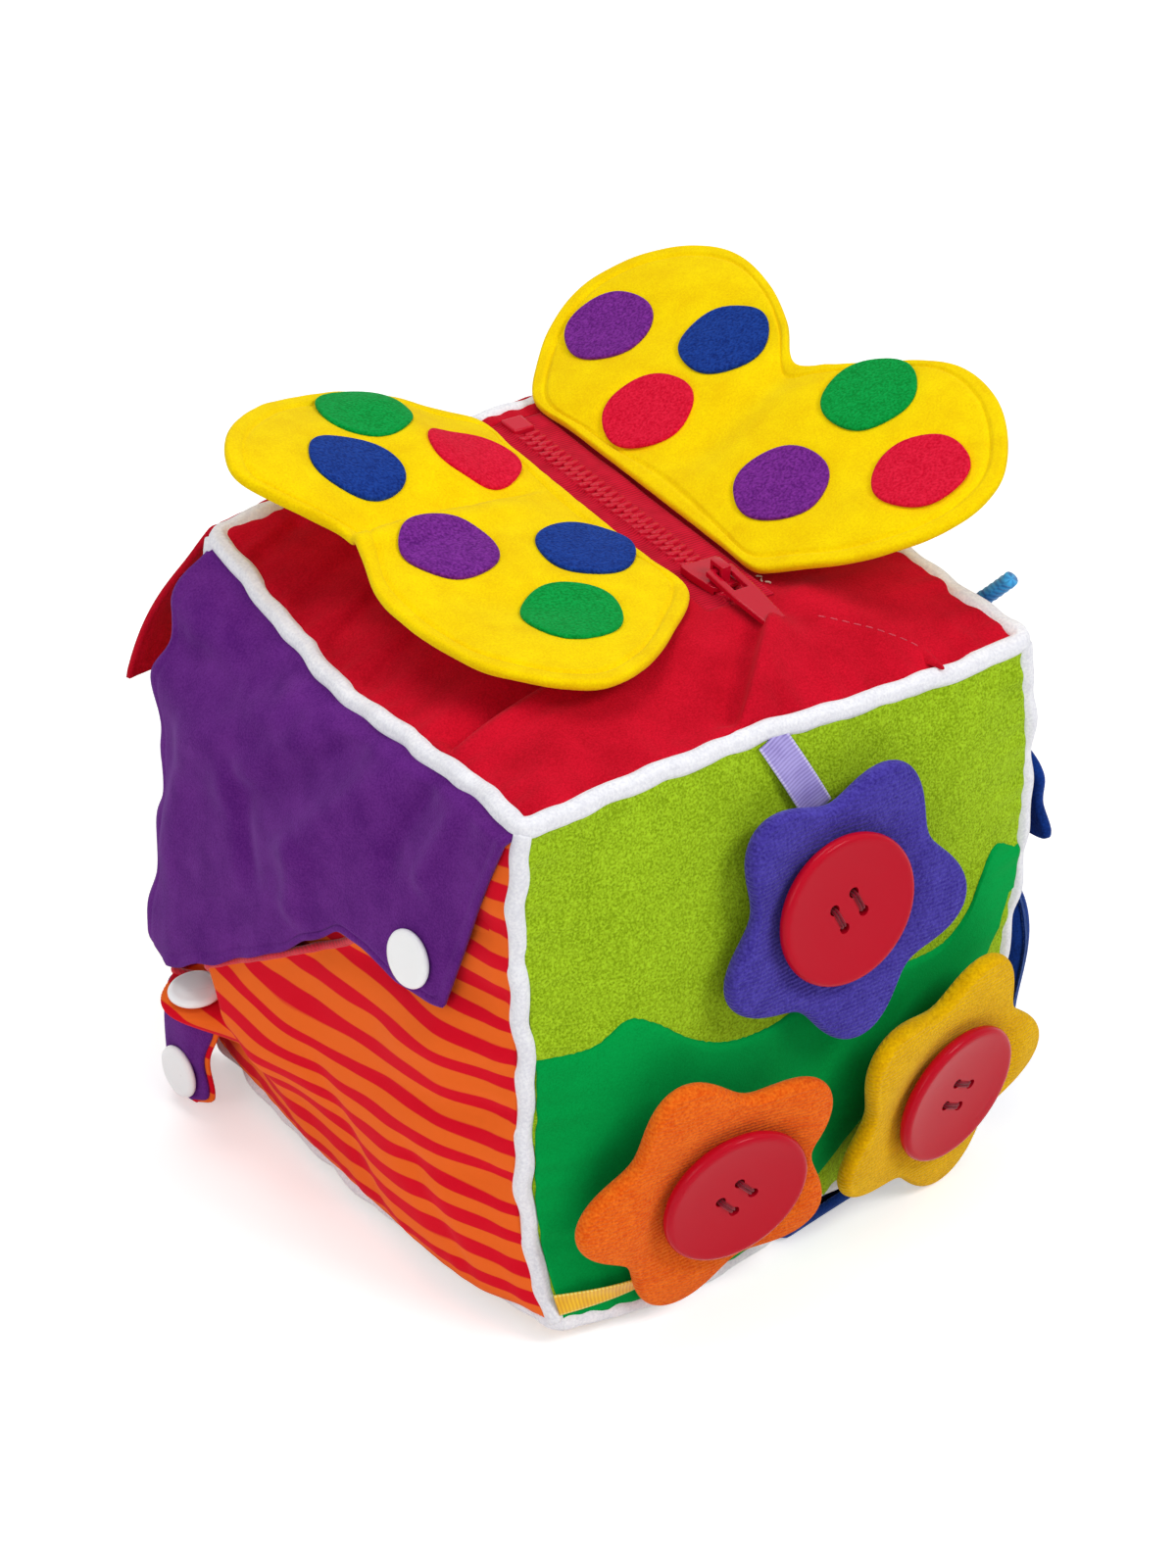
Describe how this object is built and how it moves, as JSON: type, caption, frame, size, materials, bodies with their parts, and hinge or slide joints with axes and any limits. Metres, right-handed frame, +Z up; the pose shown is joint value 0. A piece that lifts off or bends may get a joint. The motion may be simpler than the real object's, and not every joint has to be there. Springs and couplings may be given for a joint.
{
  "type": "soft fabric activity block",
  "caption": "Soft foam-filled cloth cube with a zipped top between butterfly wings, flowers buttoned on one side, a snap pocket under a flap, and a laced shoe side.",
  "frame": {"origin": "under the centre of the block, on the ground it stands on", "axes": "+Z up; -Y towards the side with the flowers; -X towards the side with the snap pocket; the zip runs roughly along Y"},
  "size_m": [0.1926, 0.2031, 0.19],
  "materials": {
    "foam": "open-cell foam cube",
    "red_lining": "plain woven polyester lining",
    "red_velour": "short-pile knit velour",
    "lime_terry": "looped terry, mottled",
    "striped_cotton": "printed plain-weave cotton, red stripes on orange",
    "amber_fleece": "brushed knit fleece",
    "navy_velour": "short-pile knit velour with a light sheen",
    "green_velour": "short-pile knit velour",
    "white_piping": "satin bias binding over a cord",
    "zip_tape": "woven herringbone polyester tape",
    "zip_acetal": "moulded acetal",
    "zip_lacquer": "glossy red coating",
    "yellow_velour": "short-pile knit velour",
    "purple_felt": "needled felt",
    "blue_felt": "needled felt",
    "red_felt": "needled felt",
    "green_felt": "needled felt",
    "violet_velour": "ribbed knit velour",
    "orange_velour": "ribbed knit velour",
    "gold_velour": "ribbed knit velour",
    "button_red": "glossy cast polyester",
    "red_thread": "twisted sewing thread",
    "lilac_satin": "satin ribbon",
    "gold_satin": "satin ribbon",
    "orange_satin": "satin ribbon",
    "purple_velour": "short-pile knit velour",
    "snap_white": "moulded acetal press snap",
    "blue_braid": "tubular braid with white flecks"
  },
  "bodies": {
    "block": {"foam_core": "foam", "zip_pouch": "red_lining", "top_panel": "red_velour", "flower_panel": "lime_terry", "snap_panel": "striped_cotton", "back_panel": "amber_fleece", "shoe_panel": "navy_velour", "base_panel": "amber_fleece", "hill_applique": "green_velour", "base_patch": "navy_velour", "piping_top": "white_piping", "piping_base": "white_piping", "piping_near": "white_piping", "piping_left": "white_piping", "piping_right": "white_piping", "piping_far": "white_piping", "zip_tape_left": "zip_tape", "zip_tape_right": "zip_tape", "zip_teeth_left": "zip_acetal", "zip_teeth_right": "zip_acetal", "zip_end_box": "zip_acetal", "button_violet": "button_red", "button_orange": "button_red", "button_yellow": "button_red", "thread_violet": "red_thread", "thread_orange": "red_thread", "thread_yellow": "red_thread", "ribbon_lilac": "lilac_satin", "ribbon_gold": "gold_satin", "ribbon_orange": "orange_satin", "snap_pocket": "striped_cotton", "cap_pocket": "snap_white", "shoe_upper": "navy_velour", "shoe_lace": "blue_braid", "lace_end": "blue_braid"},
    "slider": {"zip_slider": "zip_lacquer"},
    "pull": {"zip_pull": "zip_lacquer"},
    "right_wing": {"wing_right": "yellow_velour", "dot_right_purple_far": "purple_felt", "dot_right_blue_far": "blue_felt", "dot_right_red_mid": "red_felt", "dot_right_green_near": "green_felt", "dot_right_purple_near": "purple_felt", "dot_right_red_near": "red_felt"},
    "left_wing": {"wing_left": "yellow_velour", "dot_left_green_far": "green_felt", "dot_left_blue_far": "blue_felt", "dot_left_red_mid": "red_felt", "dot_left_purple_near": "purple_felt", "dot_left_blue_near": "blue_felt", "dot_left_green_near": "green_felt"},
    "violet_flower": {"flower_violet": "violet_velour"},
    "orange_flower": {"flower_orange": "orange_velour"},
    "yellow_flower": {"flower_yellow": "gold_velour"},
    "flap": {"snap_flap": "purple_velour", "cap_flap": "snap_white"},
    "tab": {"snap_tab": "purple_velour", "cap_tab": "snap_white"},
    "back_flap": {"red_flap": "red_velour"},
    "tongue": {"shoe_tongue": "navy_velour"}
  },
  "joints": [
    {"name": "zip_slide", "type": "slide", "parent": "block", "child": "slider", "axis": [0.0644, 0.9969, 0.0443], "range_m": [0, 0.077]},
    {"name": "pull_hinge", "type": "hinge", "parent": "slider", "child": "pull", "pos_m": [0.01784, -0.02343, 0.15995], "axis": [-0.9979, 0.0644, 0.0029], "range_deg": [0, 150]},
    {"name": "right_wing_hinge", "type": "hinge", "parent": "block", "child": "right_wing", "pos_m": [0.02724, -0.0018, 0.15851], "axis": [-0.0644, -0.9969, -0.0443], "range_deg": [-10, 60]},
    {"name": "left_wing_hinge", "type": "hinge", "parent": "block", "child": "left_wing", "pos_m": [0.01128, -0.00077, 0.15855], "axis": [0.0644, 0.9969, 0.0443], "range_deg": [0, 75]},
    {"name": "violet_flower_turn", "type": "hinge", "parent": "block", "child": "violet_flower", "pos_m": [0.00397, -0.08369, 0.10377], "axis": [-0.0413, -0.9939, 0.1019], "range_deg": [-8, 8]},
    {"name": "orange_flower_turn", "type": "hinge", "parent": "block", "child": "orange_flower", "pos_m": [-0.03054, -0.08894, 0.04068], "axis": [-0.141, -0.9807, -0.1357], "range_deg": [-8, 8]},
    {"name": "yellow_flower_turn", "type": "hinge", "parent": "block", "child": "yellow_flower", "pos_m": [0.04095, -0.08534, 0.03635], "axis": [0.1202, -0.9853, -0.1216], "range_deg": [-8, 8]},
    {"name": "flap_hinge", "type": "hinge", "parent": "block", "child": "flap", "pos_m": [-0.06863, 0.07173, 0.15312], "axis": [0.0758, 0.9957, 0.0541], "range_deg": [0, 130]},
    {"name": "tab_hinge", "type": "hinge", "parent": "block", "child": "tab", "pos_m": [-0.07459, 0.0726, 0.05], "axis": [0, 0, -1], "range_deg": [0, 100]},
    {"name": "back_flap_hinge", "type": "hinge", "parent": "block", "child": "back_flap", "pos_m": [-0.065, 0.07625, 0.1541], "axis": [0.9981, 0.0587, 0.0177], "range_deg": [0, 110]},
    {"name": "tongue_hinge", "type": "hinge", "parent": "block", "child": "tongue", "pos_m": [0.07845, 0, 0.08317], "axis": [-0.0037, 0.9985, 0.0541], "range_deg": [0, 60]}
  ]
}
